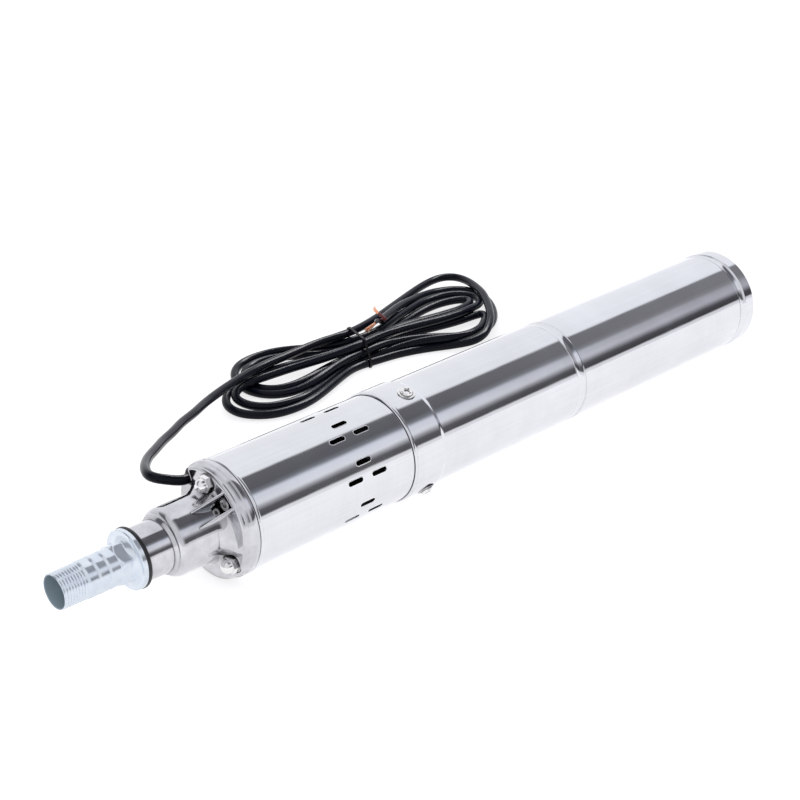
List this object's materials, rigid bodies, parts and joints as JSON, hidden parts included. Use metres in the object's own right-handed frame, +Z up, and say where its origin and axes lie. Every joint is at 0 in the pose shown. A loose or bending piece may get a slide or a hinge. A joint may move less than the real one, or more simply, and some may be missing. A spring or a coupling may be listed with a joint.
{
  "type": "submersible screw pump",
  "caption": "Slim polished steel well pump with a screw rotor, slotted intake sleeve, barbed hose outlet and a coiled supply cable.",
  "frame": {"origin": "on the floor under the middle of the pump's length and its axis", "axes": "+X along the pump from the outlet to the closed end, +Y to the side where the cable lies, +Z up"},
  "size_m": [0.6306, 0.2843, 0.0809],
  "materials": {
    "polished_steel": "polished",
    "zinc_plated": "blue zinc plate",
    "fastener_steel": "polished",
    "black_rubber": "satin",
    "machined_steel": "machined",
    "chromed_rotor": "polished",
    "carbon": "matte carbon",
    "ceramic": "polished ceramic",
    "magnet": "nickel plated",
    "copper": "bare and enamelled copper",
    "red_insulation": "satin",
    "board_green": "satin",
    "black_plastic": "matte",
    "blue_plastic": "satin",
    "choke_yellow": "satin"
  },
  "bodies": {
    "pump_body": {"acorn_nuts": "fastener_steel", "barrel_o_rings": "black_rubber", "bearing_outer_rings": "machined_steel", "board_carriers": "black_plastic", "bracket_screws": "fastener_steel", "cable_cores": "red_insulation", "cable_hank": "black_rubber", "cable_lead": "black_rubber", "cable_packing": "black_rubber", "cable_tie": "black_plastic", "capacitors": "blue_plastic", "channel_screw": "fastener_steel", "choke_coil": "choke_yellow", "circlips": "fastener_steel", "clamp_nuts": "fastener_steel", "clamp_plate": "machined_steel", "controller_board": "board_green", "copper_tips": "copper", "end_barrel": "polished_steel", "end_cap": "polished_steel", "gland_bush": "black_rubber", "hose_nipple": "zinc_plated", "inner_cable": "black_rubber", "intake_sleeve": "polished_steel", "middle_bell": "polished_steel", "motor_barrel": "polished_steel", "motor_bracket": "machined_steel", "nipple_seal": "black_rubber", "nut_washers": "fastener_steel", "outlet_head": "polished_steel", "power_leads": "red_insulation", "power_transistors": "black_plastic", "screw_washers": "fastener_steel", "seal_seat": "ceramic", "stator_core": "machined_steel", "stator_rubber": "black_rubber", "stator_tube": "machined_steel", "terminal_block": "blue_plastic", "tie_rods": "fastener_steel", "windings": "copper"},
    "motor_rotor": {"motor_shaft": "machined_steel", "shaft_coupling": "machined_steel", "sand_slinger": "black_rubber", "seal_spring": "machined_steel", "seal_face": "carbon", "bearing_inner_rings": "machined_steel", "rotor_hub": "machined_steel", "rotor_magnets": "magnet"},
    "drive_rod": {"connecting_rod": "machined_steel"},
    "screw": {"screw_rotor": "chromed_rotor"}
  },
  "joints": [
    {"name": "motor_spin", "type": "hinge", "parent": "pump_body", "child": "motor_rotor", "pos_m": [0.03, 0, 0.0393], "axis": [1, 0, 0], "continuous": true},
    {"name": "rod_orbit", "type": "hinge", "parent": "pump_body", "child": "drive_rod", "pos_m": [-0.085, 0, 0.0393], "axis": [1, 0, 0], "continuous": true},
    {"name": "screw_turn", "type": "hinge", "parent": "drive_rod", "child": "screw", "pos_m": [-0.11455, 0.003, 0.0393], "axis": [1, 0, 0], "continuous": true}
  ],
  "couplings": [
    {"joint": "rod_orbit", "follows": "motor_spin", "ratio": -1},
    {"joint": "screw_turn", "follows": "motor_spin", "ratio": 2}
  ]
}
